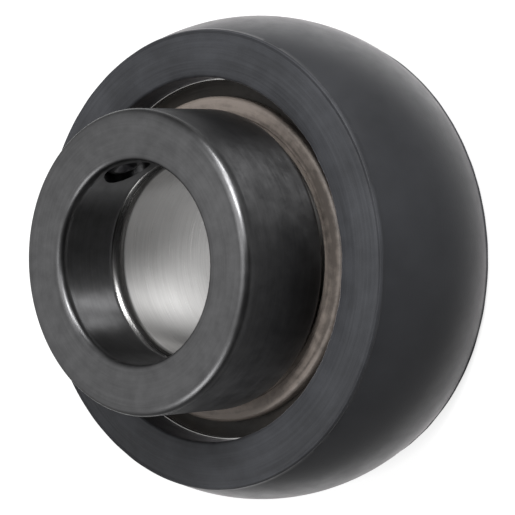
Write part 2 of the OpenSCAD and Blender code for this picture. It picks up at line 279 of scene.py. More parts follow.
def outline(corners, step):
    """Closed section through corners given anticlockwise as (r, z, rounding, bow, share).

    A corner gives way to the arc of its rounding that touches both of its sides. The side to the
    next corner is straight, or with a bow the arc of that radius on the outer side, or on the
    inner side where the bow is negative. A side is cut into equal parts no longer than the step,
    and a rounding into three or more that turn by ARC_PART at most. The share keeps its value
    along an arc and changes evenly along a side.

    Returns rows of r, z, share and edge, and for each row the number of the corner before it. The
    edge value is 1 on an outward rounding and fades to 0 within EDGE_REACH of it.
    """
    corners = np.array(padded(corners), float)
    place, (rounding, bow, share) = corners[:, :2], corners[:, 2:].T
    side = np.roll(place, -1, 0) - place
    side /= np.linalg.norm(side, axis=1)[:, None]
    before = np.roll(side, 1, 0)
    cross = before[:, 0] * side[:, 1] - before[:, 1] * side[:, 0]
    turn = np.arctan2(cross, np.sum(before * side, axis=1))
    reach = rounding * np.tan(np.abs(turn) / 2)
    start = place - before * reach[:, None]
    end = place + side * reach[:, None]
    rows, numbers = [], []
    for i in range(len(corners)):
        arc, outward = place[i : i + 1], 0
        if rounding[i] > 0:
            inward = np.sign(turn[i]) * np.array([-before[i, 1], before[i, 0]])
            count = max(3, math.ceil(abs(turn[i]) / ARC_PART))
            arc = arc_points(start[i] + inward * rounding[i], start[i], end[i], count)
            outward = int(turn[i] > 0)
        after = (i + 1) % len(corners)
        run = start[after] - end[i]
        length = np.linalg.norm(run)
        count = max(1, math.ceil(length / step))
        along = np.linspace(0, 1, count + 1)[1:-1, None]
        straight = end[i] + along * run
        if bow[i]:
            away = np.array([run[1], -run[0]]) / length * np.sign(bow[i])
            rise = math.sqrt(bow[i] ** 2 - length**2 / 4)
            centre = end[i] + run / 2 - away * rise
            straight = arc_points(centre, end[i], start[after], count)[1:-1]
        whole = np.ones((len(arc), 1))
        mixed = share[i] + along * (share[after] - share[i])
        rows.append(np.column_stack([arc, share[i] * whole, outward * whole]))
        rows.append(np.column_stack([straight, mixed, 0 * along]))
        numbers.append(np.full(len(arc) + len(along), i))
    rows, numbers = np.concatenate(rows), np.concatenate(numbers)
    on_edge = rows[rows[:, 3] > 0, :2]
    if len(on_edge):
        gap = np.linalg.norm(rows[:, None, :2] - on_edge[None], axis=2).min(1)
        rows[:, 3] = np.clip(1 - gap / EDGE_REACH, 0, 1)
    return rows, numbers


def arc_points(centre, first, last, count):
    """Points on the shorter arc about a centre from the first point to the last, in equal parts."""
    a, b = (math.atan2(*(point - centre)[::-1]) for point in (first, last))
    sweep = (b - a + math.pi) % TURN - math.pi
    angle = a + np.linspace(0, 1, count + 1) * sweep
    return centre + np.linalg.norm(first - centre) * np.column_stack([np.cos(angle), np.sin(angle)])


def mirrored(corners):
    """The same section on the rear side: z is turned over, and the order too, so that the outline
    still runs anticlockwise. A bow belongs to the side after its corner, so it moves along by one.
    """
    full = padded(corners)[::-1]
    bows = [corner[3] for corner in full[1:] + full[:1]]
    return [(r, -z, rounding, bow, share) for (r, z, rounding, _, share), bow in zip(full, bows)]


def ripple(angle, seed, slowest, fastest):
    """Uneven height round a ring, between -1 and 1: a sum of sines that close on themselves, with
    whole numbers of waves from the slowest to the fastest and sizes that fall with the number."""
    waves = np.arange(slowest, fastest + 1)
    chance = np.random.default_rng(seed)
    size = chance.normal(size=len(waves)) / np.sqrt(waves)
    start = chance.uniform(0, TURN, len(waves))
    height = (size * np.sin(np.multiply.outer(angle, waves) + start)).sum(-1)
    return height / np.abs(height).max()


def angles(count):
    """Equal parts of a full turn, from +X towards +Y."""
    return np.linspace(0, TURN, count, endpoint=False)


def turned(section, count, offset):
    """Grid of a section carried round the shaft axis. A point at angle a is at
    x = r cos a + share dx, y = r sin a + share dy and z, where (dx, dy) is the offset of an
    eccentric axis and the section's share says how far each point belongs to it."""
    r, z, share = section[:, 0], section[:, 1], section[:, 2]
    angle = angles(count)[:, None]
    x = r * np.cos(angle) + share * offset[0]
    y = r * np.sin(angle) + share * offset[1]
    return np.stack([x, y, np.broadcast_to(z, x.shape)], axis=-1)


def across(section):
    """Unit vectors in the section's plane that point out of the solid, one for each row."""
    along = np.roll(section[:, :2], -1, 0) - np.roll(section[:, :2], 1, 0)
    out = np.column_stack([along[:, 1], -along[:, 0]])
    return out / np.maximum(np.linalg.norm(out, axis=1), 1e-12)[:, None]


def swollen(grid, section, height):
    """The grid with each point moved out of the solid by a height given for each angle and row:
    along the section's outward vector, whose radial part is turned to the point's own angle."""
    out = across(section)
    angle = angles(len(grid))[:, None]
    radial, axial = out[:, 0], np.broadcast_to(out[:, 1], height.shape)
    vector = np.stack([radial * np.cos(angle), radial * np.sin(angle), axial], axis=-1)
    return grid + vector * height[..., None]


# Meshes


class Skin:
    """Points and faces gathered for one piece, as whole arrays"""

    def __init__(self):
        self.points, self.edges, self.faces, self.finishes = [], [], [], []
        self.count = 0

    def place(self, points, edge=0.0):
        """Adds an array of points and returns their numbers in the same arrangement."""
        numbers = self.count + np.arange(points[..., 0].size).reshape(points.shape[:-1])
        self.points.append(points.reshape(-1, 3))
        self.edges.append(np.broadcast_to(edge, points.shape[:-1]).ravel())
        self.count += numbers.size
        return numbers

    def face(self, *corners, finish=0):
        """Adds faces, given as one array of numbers for each of their three or four corners."""
        faces = np.stack(np.broadcast_arrays(*corners), axis=-1)
        self.finishes.append(np.broadcast_to(finish, faces.shape[:-1]).ravel())
        self.faces.append(faces.reshape(-1, faces.shape[-1]))

    def weave(self, numbers, keep=True, finish=0, closed=True):
        """Adds the grid's quads, from the numbers of its points with the angle first. The angle
        closes on itself, and so does the section where it is closed. keep says which cells are made."""
        a, b = numbers, np.roll(numbers, -1, 0)
        c, d = np.roll(b, -1, 1), np.roll(a, -1, 1)
        last = None if closed else -1
        a, b, c, d, keep, finish = (
            np.broadcast_to(part, numbers.shape)[:, :last] for part in (a, b, c, d, keep, finish)
        )
        self.face(a[keep], b[keep], c[keep], d[keep], finish=finish[keep])

    def stack(self, rings):
        """Quads between neighbouring closed rings, as rows of numbers that start side by side."""
        a, b = rings[:-1], rings[1:]
        self.face(a, np.roll(a, -1, 1), np.roll(b, -1, 1), b)

    def join(self, first, second):
        """Triangles between two closed rings that start side by side and run the same way, also
        where their counts differ: each edge is joined to the point of the other ring that lies
        level with it."""
        m, n = len(first), len(second)
        level_first, level_second = np.arange(1, m + 1) / m, np.arange(1, n + 1) / n
        beside = second[np.searchsorted(level_second, level_first - 1e-9) % n]
        self.face(first, np.roll(first, -1), beside)
        beside = first[np.searchsorted(level_first, level_second + 1e-9) % m]
        self.face(beside, np.roll(second, -1), second)

    def fan(self, ring, tip):
        """Triangles from a closed ring to the point that closes it."""
        self.face(ring, np.roll(ring, -1), tip)


def in_scene(name, data):
    """Makes an object and puts it in the scene."""
    made = bpy.data.objects.new(name, data)
    bpy.context.scene.collection.objects.link(made)
    return made


def piece(name, skin, finishes, body, replaced):
    """Makes a mesh object of a skin, with an edge attribute that its finish reads, ties it to its
    CAD body, and hides the CAD nodes that it stands for."""
    points = np.concatenate(skin.points)
    corners = np.concatenate([faces.ravel() for faces in skin.faces])
    sizes = np.concatenate([np.full(len(faces), faces.shape[1]) for faces in skin.faces])
    mesh = bpy.data.meshes.new(name)
    mesh.vertices.add(len(points))
    mesh.vertices.foreach_set("co", points.astype(np.float32).ravel())
    mesh.loops.add(len(corners))
    mesh.loops.foreach_set("vertex_index", corners.astype(np.int32))
    mesh.polygons.add(len(sizes))
    mesh.polygons.foreach_set("loop_start", (np.cumsum(sizes) - sizes).astype(np.int32))
    mesh.polygons.foreach_set("material_index", np.concatenate(skin.finishes).astype(np.int32))
    mesh.update(calc_edges=True)
    edge = mesh.attributes.new("edge", "FLOAT", "POINT")
    edge.data.foreach_set("value", np.concatenate(skin.edges).astype(np.float32))
    mesh.shade_smooth()
    mesh.set_sharp_from_angle(angle=SHARP_TURN)
    if mesh.validate(verbose=False):
        raise RuntimeError(f"{name}: the mesh had faults")
    for finish in finishes:
        mesh.materials.append(finish)
    made = in_scene(name, mesh)
    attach(made, body)
    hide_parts(*replaced)


def ring_piece(
    name, corners, finishes, body, replaced, shift=None, second=(), offset=(0, 0)
):
    """A piece that is one section carried round the axis. shift gives a height out of the solid
    from the angles and the section's rows. second lists the corners, by number, from which the
    surface has the second finish up to the next corner."""
    sizes = bpy.context.scene.bearing_sizes
    section, stretch = outline(corners, sizes.step)
    grid = turned(section, sizes.facets, offset)
    if shift is not None:
        grid = swollen(grid, section, shift(angles(sizes.facets)[:, None], section))
    skin = Skin()
    numbers = skin.place(grid, edge=section[:, 3])
    skin.weave(numbers, finish=np.isin(stretch, second))
    piece(name, skin, finishes, body, replaced)


# The pieces' sections, each anticlockwise as (r, z, rounding, bow, share)


def crown_at(s, height):
    """Radius of the cushion's crown at a height: a circle's, about a point on the centre plane."""
    return CROWN_TOP_R - s.crown + math.sqrt(s.crown**2 - height**2)


def cushion_section(s):
    """The cushion: a side lip, the fall to the ridge, the ridge's bead, the crown, and the same
    again on the rear side. Inside, it holds the outer ring between its two lips."""
    ridge_z = LIP_FACE - s.ridge_fall
    ridge_r = crown_at(s, ridge_z)
    slope = s.ridge_fall / (ridge_r - MOUTH_R - s.lip_flat)
    bead = s.flash
    foot = 1.5 * bead
    flat_rounding = 2.2 * MM
    front = [
        (crown_at(s, ridge_z - foot), ridge_z - foot, bead / 3),
        (ridge_r + 0.9 * bead, ridge_z - bead / 2, bead / 2),
        (ridge_r + 0.1 * bead, ridge_z + 0.9 * bead, bead / 2),
        (ridge_r - foot, ridge_z + foot * slope, bead / 3),
        (MOUTH_R + s.lip_flat, LIP_FACE, flat_rounding),
        (MOUTH_R, LIP_FACE, s.lip_rounding),
        (MOUTH_R, RING_FACE + HAIR),
        (RING_R + HAIR, RING_FACE + HAIR, s.ring_rounding),
    ]
    rear = mirrored(front)
    # The crown runs from foot to foot of the two beads, which meet it without a rounding
    rear[-1] = (*rear[-1][:2], 0, s.crown, 0)
    front[0] = (*front[0][:2], 0)
    return front + rear


def raceway(race_r, land_r, direction, s):
    """Half the width of a raceway groove where it meets the land, and the groove's radius. The
    groove is a circle as deep as race_r whose centre lies on the balls' side. direction is 1 in
    the outer ring and -1 in the inner ring."""
    groove = s.groove_share * (BALL_OUT_R - BALL_IN_R)
    centre = race_r - direction * groove
    return math.sqrt(groove**2 - (land_r - centre) ** 2), groove


def outer_ring_section(s):
    """The outer ring: two side faces with a mouth and a groove for each seal, and the raceway."""
    half, groove = raceway(BALL_OUT_R + s.ball_gap, SHOULDER_R, 1, s)
    mouth = SEAL_RIM_R - s.seal_step
    mouth_rounding = 0.12 * MM
    front = [
        (RING_R, RING_FACE, s.ring_rounding),
        (mouth, RING_FACE, mouth_rounding),
        (mouth, PLATE_LOW),
        (SEAL_RIM_R + HAIR, PLATE_LOW + HAIR),
        (SEAL_RIM_R + HAIR, seal_seat(s) - HAIR),
        (SHOULDER_R, seal_seat(s) - HAIR),
        (SHOULDER_R, half, 0, -groove),
    ]
    # The raceway is the bow of the front half's last corner, and isn't drawn again
    rear = [(*corner[:3], 0) for corner in mirrored(front)]
    return front + rear


def seal_seat(s):
    """Height of the shoulder that a seal's rim rests on."""
    return PLATE_LOW - s.seal_groove


def inner_ring_section(s):
    """The inner ring: rear face, land with the raceway, the eccentric cam and the rounded bore."""
    half, groove = raceway(BALL_IN_R - s.ball_gap, LAND_R, -1, s)
    cam_z = INNER_FRONT - s.cam_length
    end_rounding, land_rounding, cam_foot = 0.3 * MM, 0.25 * MM, 0.15 * MM
    return [
        (BORE_R, REAR_FACE, s.bore_rounding),
        (LAND_R, REAR_FACE, end_rounding),
        (LAND_R, -half, 0, -groove),
        (LAND_R, half),
        (LAND_R, cam_z, land_rounding),
        (s.cam_radius, cam_z, cam_foot, 0, 1),
        (s.cam_radius, INNER_FRONT, end_rounding, 0, 1),
        (BORE_R, INNER_FRONT, s.bore_rounding),
    ]


def collar_section(s):
    """The collar: eccentric counterbore at the rear, outside, front face and bore."""
    seat_r = s.cam_radius + s.cam_gap
    seat_z = INNER_FRONT + s.cam_end_gap
    chamfer = s.collar_chamfer
    return [
        (seat_r + chamfer, COLLAR_REAR, 0, 0, 1),
        (COLLAR_R - chamfer, COLLAR_REAR, BROKEN_EDGE),
        (COLLAR_R, COLLAR_REAR + chamfer, SOFT_EDGE),
        (COLLAR_R, COLLAR_FRONT, s.collar_rounding),
        (COLLAR_BORE_R, COLLAR_FRONT, s.mouth_rounding),
        (COLLAR_BORE_R, seat_z, BROKEN_EDGE),
        (seat_r, seat_z, BROKEN_EDGE, 0, 1),
        (seat_r, COLLAR_REAR + chamfer, 0, 0, 1),
    ]


def plate_top(s, inner, outer, top, bend):
    """The line that the cover plate's top and its underside share: the flat, the slope down to the
    band by the bore, and the two bends, from the outer end to the inner."""
    step_r, low = PLATE_IN_R + s.plate_band, top - s.plate_drop
    fold = 0.05 * MM
    return [
        (outer, top, bend),
        (step_r + s.plate_drop, top, fold),
        (step_r, low, fold),
        (inner, low, bend),
    ]


def plate_section(s):
    """A seal's cover plate: a flat ring with both edges bent towards the balls."""
    bend = s.plate_bend + s.plate
    inner, outer = PLATE_IN_R + s.plate, PLATE_OUT_R - s.plate
    under = plate_top(s, inner, outer, PLATE_TOP - s.plate, s.plate_bend)
    return [
        (outer, PLATE_LOW),
        (PLATE_OUT_R, PLATE_LOW),
        *plate_top(s, PLATE_IN_R, PLATE_OUT_R, PLATE_TOP, bend),
        (PLATE_IN_R, PLATE_LOW),
        (inner, PLATE_LOW),
        *under[::-1],
    ]


def seal_section(s):
    """A seal's rubber: a rim in the ring's groove, a low floor outside the plate, a core under the
    plate, and the lip that stands just clear of the inner ring's land."""
    seat, under = seal_seat(s), PLATE_LOW - HAIR
    inner, outer = PLATE_IN_R + s.plate + HAIR, PLATE_OUT_R - s.plate - HAIR
    lip_top, lip_low = PLATE_LOW - 0.2 * MM, PLATE_LOW - 0.7 * MM
    return [
        (inner, SEAL_LOW),
        (SHOULDER_R, SEAL_LOW, SOFT_EDGE),
        (SHOULDER_R, seat),
        (SEAL_RIM_R, seat, SOFT_EDGE),
        (SEAL_RIM_R, PLATE_LOW, SOFT_EDGE),
        (PLATE_OUT_R, under),
        (outer, under),
        *plate_top(s, inner, outer, SEAL_TOP - HAIR, s.plate_bend),
        (inner, under),
        (PLATE_IN_R, under),
        (SEAL_LIP_R, lip_top, BROKEN_EDGE),
        (SEAL_LIP_R, lip_low, BROKEN_EDGE),
    ]


def cam_axis(s):
    """The eccentric cam's own axis, as its x and y."""
    return s.cam_offset * math.cos(s.cam_direction), s.cam_offset * math.sin(s.cam_direction)


# Holes in the collar's wall


def hole_axes(direction):
    """The radial, sideways and axial unit vectors of a hole that runs in from a direction."""
    cos, sin = math.cos(direction), math.sin(direction)
    return np.array([[cos, sin, 0], [-sin, cos, 0], [0, 0, 1]])


def hole_points(direction, out, sideways, axial):
    """Points in a hole, from their distances along its three unit vectors. They count from the
    point of the shaft axis that the hole runs towards."""
    local = np.stack(np.broadcast_arrays(out, sideways, axial), -1)
    return local @ hole_axes(direction) + HOLE_ORIGIN


def open_wall(skin, grid, numbers, keep, wall_r, direction, radius):
    """Opens a round wall for a hole from a direction. The cells near the hole are left out,
    and the gap is closed with rings that go evenly from its edge to the hole's circle, sideways
    and axially, and are lifted to the wall at sqrt(R^2 - sideways^2). Returns the hole's circle as
    angles about the hole's axis, and its points' numbers."""
    local = (grid - HOLE_ORIGIN) @ hole_axes(direction).T
    on_wall = (np.abs(np.hypot(grid[..., 0], grid[..., 1]) - wall_r) < HAIR) & (local[..., 0] > 0)
    near = on_wall & (np.abs(local[..., 1:]) <= radius + HOLE_MARGIN).all(-1)
    columns, rows = np.flatnonzero(near.any(1)), np.flatnonzero(near.any(0))
    left, right, low, high = columns[0], columns[-1], rows[0], rows[-1]
    keep[left:right, low:high] = False
    over, up = np.arange(left, right), np.arange(low, high)
    columns = [over, right + 0 * up, over[::-1] + 1, left + 0 * up]
    rows = [low + 0 * over, up, high + 0 * over, up[::-1] + 1]
    loop = np.concatenate(columns), np.concatenate(rows)
    flat = local[loop][:, 1:]
    area = np.sum(flat[:, 0] * np.roll(flat[:, 1], -1) - flat[:, 1] * np.roll(flat[:, 0], -1))
    angle = math.atan2(flat[0, 1], flat[0, 0]) + np.sign(area) * angles(len(flat))
    circle = radius * np.column_stack([np.cos(angle), np.sin(angle)])
    inward = np.linspace(0, 1, HOLE_RINGS + 1)[1:, None, None]
    spans = flat + inward * (circle - flat)
    sideways, axial = spans[..., 0], spans[..., 1]
    lifted = np.sqrt(wall_r**2 - sideways**2)
    placed = skin.place(hole_points(direction, lifted, sideways, axial))
    skin.stack(np.concatenate([numbers[loop][None], placed]))
    return angle, placed[-1]


def tube(skin, angle, rim, radii, depths, direction):
    """Rings from a hole's rim in the collar's outside inwards, each of one radius. A depth is
    taken from the wall along the hole's own axis; where it is negative it is a distance from the
    shaft axis instead. Returns the last ring's numbers."""
    radii, depths = np.array(radii)[:, None], np.array(depths)[:, None]
    sideways, axial = radii * np.cos(angle), radii * np.sin(angle)
    out = np.where(depths < 0, -depths, np.sqrt(COLLAR_R**2 - sideways**2) - depths)
    placed = skin.place(hole_points(direction, out, sideways, axial))
    skin.stack(np.concatenate([rim[None], placed]))
    return placed[-1]


def close_tube(skin, end, rim):
    """Joins a tube's last ring to the hole's circle in the bore, whose points run the other way:
    the circle is turned round and started beside the tube's first point."""
    points = np.concatenate(skin.points)
    back = rim[::-1]
    gap = np.linalg.norm(points[back] - points[end[0]], axis=1)
    skin.join(end, np.roll(back, -int(gap.argmin())))


# Finishes


def node(kind, inputs=None, output=0, **settings):
    """What a node puts out, as a function that adds the node to a tree and returns its output.
    An input takes a plain value or what another node puts out."""

    def add(tree):
        made = tree.nodes.new(kind)
        for name, value in settings.items():
            setattr(made, name, value)
        for name, value in (inputs or {}).items():
            if callable(value):
                tree.links.new(value(tree), made.inputs[name])
            else:
                made.inputs[name].default_value = value
        return made.outputs[output]

    return add


# The point's own place on its piece, in metres
PLACE = node("ShaderNodeTexCoord", output="Object")


def shade(owner, output, shader):
    """Gives a material or a world a node tree of its own that ends in the shader."""
    owner.use_nodes = True
    tree = owner.node_tree
    tree.nodes.clear()
    tree.links.new(shader(tree), tree.nodes.new(output).inputs["Surface"])


def reckon(operation, *values):
    """What a math node makes of numbers and patterns."""
    return node("ShaderNodeMath", dict(enumerate(values)), operation=operation)


def reckon_vector(operation, first, second, output="Vector"):
    """What a vector math node makes of two vectors: a vector, or a number as its Value."""
    return node("ShaderNodeVectorMath", {0: first, 1: second}, output, operation=operation)


def finish(name, base, roughness, bump, height, **values):
    """A material with one Principled shader, whose sockets take plain values or patterns. bump is
    the pattern of its relief, and height the relief's full height."""
    relief = node("ShaderNodeBump", {"Height": bump, "Distance": height, "Strength": 1})
    values = {"Base_Color": base, "Roughness": roughness, "Normal": relief, **values}
    inputs = {socket.replace("_", " "): value for socket, value in values.items()}
    material = bpy.data.materials.new(name)
    shade(material, "ShaderNodeOutputMaterial", node("ShaderNodeBsdfPrincipled", inputs))
    return material


def distance_from(x, y):
    """Distance of a point from the upright line through x, y."""
    flat = reckon_vector("MULTIPLY", PLACE, (1, 1, 0))
    return reckon_vector("DISTANCE", flat, (x, y, 0), "Value")


def rings(spacing, wander, detail=3):
    """Fine rings round the shaft axis, from 0 to 1: noise read once for each spacing along the
    radius and along z, and only once for each wander along x and y, so that rings come and go."""
    x, y, z = (node("ShaderNodeSeparateXYZ", {0: PLACE}, axis) for axis in "XYZ")
    rows = node("ShaderNodeCombineXYZ", {0: distance_from(0, 0), 1: z, 2: x})
    inputs = {
        "Vector": reckon_vector("MULTIPLY", rows, (1 / spacing, 1 / spacing, 1 / wander)),
        "W": reckon("MULTIPLY", y, 1 / wander),
        "Scale": 1,
        "Detail": detail,
    }
    return node("ShaderNodeTexNoise", inputs, noise_dimensions="4D")


def grain(size, detail=4):
    """Even grain of a given size, from 0 to 1."""
    inputs = {"Vector": PLACE, "Scale": 1 / size, "Detail": detail, "Roughness": 0.6}
    return node("ShaderNodeTexNoise", inputs)


def spread(value, low, high, start=0.3, end=0.7):
    """A pattern's middle stretch, from start to end, brought to the range from low to high."""
    inputs = {"Value": value, "From Min": start, "From Max": end, "To Min": low, "To Max": high}
    return node("ShaderNodeMapRange", inputs)


def on_edges(value, elsewhere):
    """A value on the rounded edges that changes to another beside them."""
    edge = node("ShaderNodeAttribute", output="Fac", attribute_name="edge")
    return spread(edge, elsewhere, value, 0.2, 1)


def in_bore(value, elsewhere):
    """A value in the collar's bore that changes to another over the rounding of its mouth."""
    start, end = COLLAR_BORE_R + 0.2 * MM, COLLAR_BORE_R + 1 * MM
    return spread(distance_from(0, 0), value, elsewhere, start, end)


def dimmed(colour, strength):
    """A colour times a strength."""
    return node("ShaderNodeVectorMath", {0: colour, "Scale": strength}, operation="SCALE")


def toned(colour, depth, pattern):
    """A colour that goes from darker by a share to lighter by as much, as a pattern goes up."""
    return dimmed(tuple(colour), spread(pattern, 1 - depth, 1 + depth))


def added(first, second, share=1.0, lift=0.0):
    """The first pattern with a share of the second and a plain lift added."""
    return reckon("MULTIPLY_ADD", second, share, reckon("ADD", first, lift))


def varied(first, second, share):
    """The first pattern, varied by a share of the second about the same middle."""
    return added(first, second, share, -share / 2)


def facing(vector, direction):
    """Length of a vector along a direction."""
    return reckon_vector("DOT_PRODUCT", vector, direction, "Value")


def moulded_rubber(colour):
    """Nitrile rubber, press moulded: charcoal and nearly matt, clouded by a thin pale bloom, with
    the faint rings of a turned mould on its side faces."""
    return finish(
        "moulded_nitrile_rubber",
        toned(colour, 0.3, varied(grain(6 * MM, 6), rings(0.3 * MM, 12 * MM), 0.6)),
        spread(grain(1.6 * MM), 0.46, 0.6),
        added(rings(0.3 * MM, 20 * MM, 2), grain(0.2 * MM), 0.5),
        height=0.03 * MM,
        Sheen_Weight=0.35,
        Sheen_Roughness=0.32,
        Sheen_Tint=(*linear("#e6e2e6"), 1),
        Specular_IOR_Level=0.24,
    )


def smooth_rubber(colour):
    """The same rubber on the crown, where the mould is polished: even, with a soft gloss, and pale
    at grazing angles where the bloom lies. Its colour is a fifth darker, as painted shade."""
    return finish(
        "smooth_nitrile_rubber",
        # painted shade: the crown's colour is a fifth darker than the side faces'
        toned([0.8 * part for part in colour], 0.16, grain(9 * MM, 5)),
        spread(grain(2.2 * MM), 0.3, 0.4),
        grain(0.3 * MM),
        height=0.008 * MM,
        Sheen_Weight=0.9,
        Sheen_Roughness=0.22,
        Sheen_Tint=(*linear("#f0e8ec"), 1),
        Specular_IOR_Level=0.36,
    )


def seal_rubber(colour):
    """Nitrile rubber of a shaft seal, pressed and greasy: brown-black, with a soft sheen."""
    return finish(
        "pressed_seal_rubber",
        toned(colour, 0.3, grain(2.5 * MM)),
        spread(grain(0.9 * MM), 0.38, 0.54),
        added(rings(0.25 * MM, 12 * MM, 2), grain(0.2 * MM), 0.5),
        height=0.02 * MM,
        Specular_IOR_Level=0.3,
    )


def black_oxide_steel(colour, name, roughness, drawn_out):
    """Turned steel, blackened in a salt bath and oiled: near-black where it mirrors the rubber,
    with the tool's fine rings and cloudy patches of thicker oxide, and rougher in the bore, where
    its colour is darker as painted shade. drawn_out says how far the rings draw a highlight out
    across themselves."""
    oxide = toned(colour, 0.14, varied(grain(2 * MM), rings(0.22 * MM, 9 * MM), 0.5))
    plain = on_edges(0.35, in_bore(0.4, roughness))
    clouded = added(spread(grain(3 * MM), -0.03, 0.05), plain)
    return finish(
        name,
        # painted shade: the colour is darker in the collar's bore
        dimmed(oxide, in_bore(0.7, 1)),
        added(spread(rings(0.18 * MM, 6 * MM), -0.02, 0.03), clouded),
        added(rings(0.2 * MM, 30 * MM, 2), grain(0.16 * MM), 0.5),
        height=0.004 * MM,
        Metallic=1,
        Anisotropic=on_edges(0.1, in_bore(1, drawn_out)),
        Anisotropic_Rotation=ALONG_SHAFT,
    )


def small_part_steel(name, colour, depth, patches, roughness, smears, dents, dent_height):
    """Steel without a direction. Its tone goes up and down by a depth in patches of one size, its
    roughness from the lesser to the greater in smears of another, and it has small dents."""
    tone, gloss = toned(colour, depth, grain(patches)), spread(grain(smears), *roughness)
    return finish(name, tone, gloss, grain(dents), height=dent_height, Metallic=1)


def screw_steel(colour):
    """Hardened alloy steel with a thin black oxide: darker and glossier than the collar."""
    return small_part_steel(
        "blackened_screw_steel", colour, depth=0.25, patches=0.6 * MM, roughness=(0.26, 0.4),
        smears=0.4 * MM, dents=0.15 * MM, dent_height=0.006 * MM,
    )


def ground_steel(colour, name, roundings, roughness):
    """Bearing steel, hardened and ground: bright, with hair-fine scratches round the axis that
    draw highlights out along it. On the roundings the colour keeps only a share of that
    brightness, as painted shade that dims their highlights, and they have a roughness of their own."""
    ground = toned(colour, 0.08, varied(rings(0.16 * MM, 8 * MM), grain(4 * MM), 0.5))
    return finish(
        name,
        # painted shade: the colour on the roundings is dimmed to a share
        dimmed(ground, on_edges(roundings, 1)),
        added(spread(rings(0.12 * MM, 5 * MM), -0.02, 0.03), on_edges(roughness, 0.29)),
        rings(0.12 * MM, 16 * MM, 2),
        height=0.002 * MM,
        Metallic=1,
        Anisotropic=on_edges(0, 0.8),
        Anisotropic_Rotation=ALONG_SHAFT,
    )


def turned_steel(colour):
    """Bearing steel, turned and left as it is: duller and browner than the ground faces."""
    return finish(
        "turned_bearing_steel",
        toned(colour, 0.16, rings(0.3 * MM, 9 * MM)),
        spread(rings(0.25 * MM, 6 * MM), 0.32, 0.46),
        rings(0.25 * MM, 22 * MM, 2),
        height=0.008 * MM,
        Metallic=1,
        Anisotropic=0.5,
        Anisotropic_Rotation=ALONG_SHAFT,
    )


def plate_steel(colour):
    """Strip steel, pressed into a ring and phosphated: a dull warm grey with pale and dark bands
    round the shaft, paler on the bends as a painted highlight, and darker on the +X side as
    painted shade."""
    bands = varied(rings(0.8 * MM, 14 * MM, 4), grain(1.2 * MM, 6), 0.6)
    side = facing(PLACE, (1, 0, 0))
    # painted shade: the colour is darker towards the +X side
    painted_shade_on_x_side = spread(side, 0.18, -0.15, 0.2 * PLATE_OUT_R, 0.85 * PLATE_OUT_R)
    return finish(
        "phosphated_strip_steel",
        # painted highlight: the bends are paler
        toned(colour, 0.5, added(added(bands, on_edges(0.06, 0)), painted_shade_on_x_side)),
        spread(grain(1.1 * MM), 0.42, 0.56),
        added(grain(1.2 * MM), grain(0.25 * MM), 0.3),
        height=0.015 * MM,
        Metallic=0.1,
    )


def cage_steel(colour):
    """Pressed steel strip of the cage: plain grey, lightly tumbled."""
    return small_part_steel(
        "tumbled_cage_steel", colour, depth=0.18, patches=1.2 * MM, roughness=(0.3, 0.42),
        smears=0.5 * MM, dents=0.25 * MM, dent_height=0.01 * MM,
    )


def rivet_steel(colour):
    """Soft steel wire, headed: greyer than the cage, with a trace of the heading tool."""
    return small_part_steel(
        "headed_rivet_steel", colour, depth=0.2, patches=0.5 * MM, roughness=(0.32, 0.46),
        smears=0.3 * MM, dents=0.2 * MM, dent_height=0.01 * MM,
    )


def ball_steel(colour):
    """Chromium steel balls, lapped to a mirror, under a film of grease."""
    return small_part_steel(
        "lapped_ball_steel", colour, depth=0.06, patches=1.5 * MM, roughness=(0.04, 0.09),
        smears=1 * MM, dents=0.3 * MM, dent_height=0.001 * MM,
    )


# Operators


class BEARING_OT_cushion(bpy.types.Operator):
    """Builds the rubber cushion, with an uneven moulding bead along both ridges"""

    bl_idname = "bearing.cushion"
    bl_label = "Rubber cushion"

    def execute(self, context):
        s = context.scene.bearing_sizes

        def shift(angle, section):
            """The bead swells and thins round the ridge; the lip's edge is trimmed unevenly."""
            ridge_z = LIP_FACE - s.ridge_fall
            ridge_r = crown_at(s, ridge_z)
            bead_swell, lip_nick = 0.2 * s.flash, 0.09 * MM
            height = np.zeros((len(angle), len(section)))
            for side, seed in ((1, 3), (-1, 8)):
                gap = np.hypot(section[:, 0] - ridge_r, section[:, 1] - side * ridge_z)
                bead = np.clip(1 - gap / (1.6 * s.flash), 0, 1) ** 0.5
                height += bead * (ripple(angle, seed, 3, 60) - 1) * bead_swell
                lip = np.hypot(section[:, 0] - MOUTH_R, section[:, 1] - side * LIP_FACE)
                edge = np.clip(1 - lip / (2 * s.lip_rounding), 0, 1)
                height += edge * (ripple(angle, seed + 1, 6, 160) - 1) * lip_nick
            return height

        corners = cushion_section(s)
        crown = len(corners) - 1  # corner of the section that this starts at
        colour = context.scene.bearing_colours.rubber
        ring_piece(
            "cushion", corners, [moulded_rubber(colour), smooth_rubber(colour)], "outer",
            ["rubber_cushion"], shift, second=(crown,),
        )
        return {"FINISHED"}


class BEARING_OT_outer_ring(bpy.types.Operator):
    """Builds the outer ring, ground on its raceway and outside; its seal grooves get the same ground finish"""

    bl_idname = "bearing.outer_ring"
    bl_label = "Outer ring"

    def execute(self, context):
        s = context.scene.bearing_sizes
        colour = context.scene.bearing_colours.ring
        steel = ground_steel(colour, "ground_bearing_steel", roundings=1, roughness=0.14)
        section = outer_ring_section(s)
        ring_piece("outer_race", section, [steel], "outer", ["outer_ring"])
        return {"FINISHED"}


